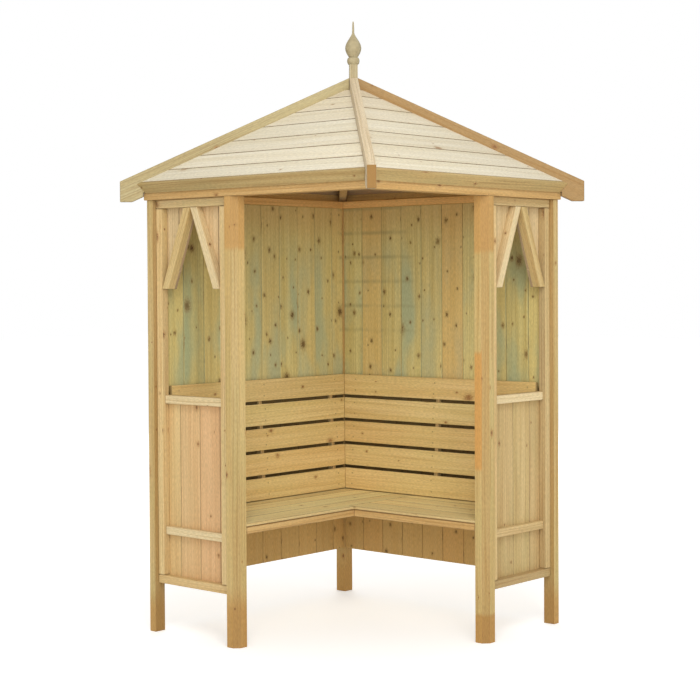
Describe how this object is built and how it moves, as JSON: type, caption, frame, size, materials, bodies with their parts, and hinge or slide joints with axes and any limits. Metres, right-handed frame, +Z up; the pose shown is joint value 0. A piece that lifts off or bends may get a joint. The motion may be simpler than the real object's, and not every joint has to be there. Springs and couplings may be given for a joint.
{
  "type": "arbour seat",
  "caption": "Corner arbour with an L-shaped bench and slatted back rest, boarded walls, pointed side windows, and a hipped boarded roof with a turned finial",
  "frame": {"origin": "Centre of the plan, on the ground that the five posts stand on.", "axes": "+Z is up. The back corner lies at -X +Y and the open entry corner at +X -Y. The left wall runs along -X and the right wall along +Y."},
  "size_m": [1.376, 1.376, 2.499],
  "materials": {
    "post_timber": "matte",
    "framing_timber": "matte",
    "plate_timber": "matte",
    "side_boards": "matte",
    "wall_boards": "matte",
    "slat_timber": "matte",
    "seat_timber": "matte",
    "roof_boards": "matte",
    "fascia_timber": "matte",
    "hip_timber": "matte",
    "finial_timber": "matte"
  },
  "bodies": {
    "root": {"back_corner_post": "post_timber", "left_end_post": "post_timber", "left_entry_post": "post_timber", "left_wall_boards": "wall_boards", "left_side_bottom_rail": "framing_timber", "left_side_top_rail": "framing_timber", "left_side_outer_stile": "framing_timber", "left_side_inner_stile": "framing_timber", "left_side_lower_rail": "framing_timber", "left_side_sill": "framing_timber", "left_side_inner_brace": "framing_timber", "left_side_outer_brace": "framing_timber", "left_side_lower_boards": "side_boards", "left_side_head_boards": "side_boards", "left_rest_slat_1": "slat_timber", "left_rest_slat_2": "slat_timber", "left_rest_slat_3": "slat_timber", "left_rest_slat_4": "slat_timber", "left_rest_slat_5": "slat_timber", "left_rest_batten": "framing_timber", "left_seat_boards": "seat_timber", "left_seat_bearer": "seat_timber", "right_end_post": "post_timber", "right_entry_post": "post_timber", "right_wall_boards": "wall_boards", "right_side_bottom_rail": "framing_timber", "right_side_top_rail": "framing_timber", "right_side_outer_stile": "framing_timber", "right_side_inner_stile": "framing_timber", "right_side_lower_rail": "framing_timber", "right_side_sill": "framing_timber", "right_side_inner_brace": "framing_timber", "right_side_outer_brace": "framing_timber", "right_side_lower_boards": "side_boards", "right_side_head_boards": "side_boards", "right_rest_slat_1": "slat_timber", "right_rest_slat_2": "slat_timber", "right_rest_slat_3": "slat_timber", "right_rest_slat_4": "slat_timber", "right_rest_slat_5": "slat_timber", "right_rest_batten": "framing_timber", "right_seat_boards": "seat_timber", "right_seat_bearer": "seat_timber", "left_side_roof_boards": "roof_boards", "left_side_fascia": "fascia_timber", "left_side_plate": "plate_timber", "right_side_roof_boards": "roof_boards", "right_side_fascia": "fascia_timber", "right_side_plate": "plate_timber", "right_back_roof_boards": "roof_boards", "right_back_fascia": "fascia_timber", "right_back_plate": "plate_timber", "left_back_roof_boards": "roof_boards", "left_back_fascia": "fascia_timber", "left_back_plate": "plate_timber", "entry_hip": "hip_timber", "right_hip": "hip_timber", "back_hip": "hip_timber", "left_hip": "hip_timber", "finial": "finial_timber"}
  },
  "joints": []
}
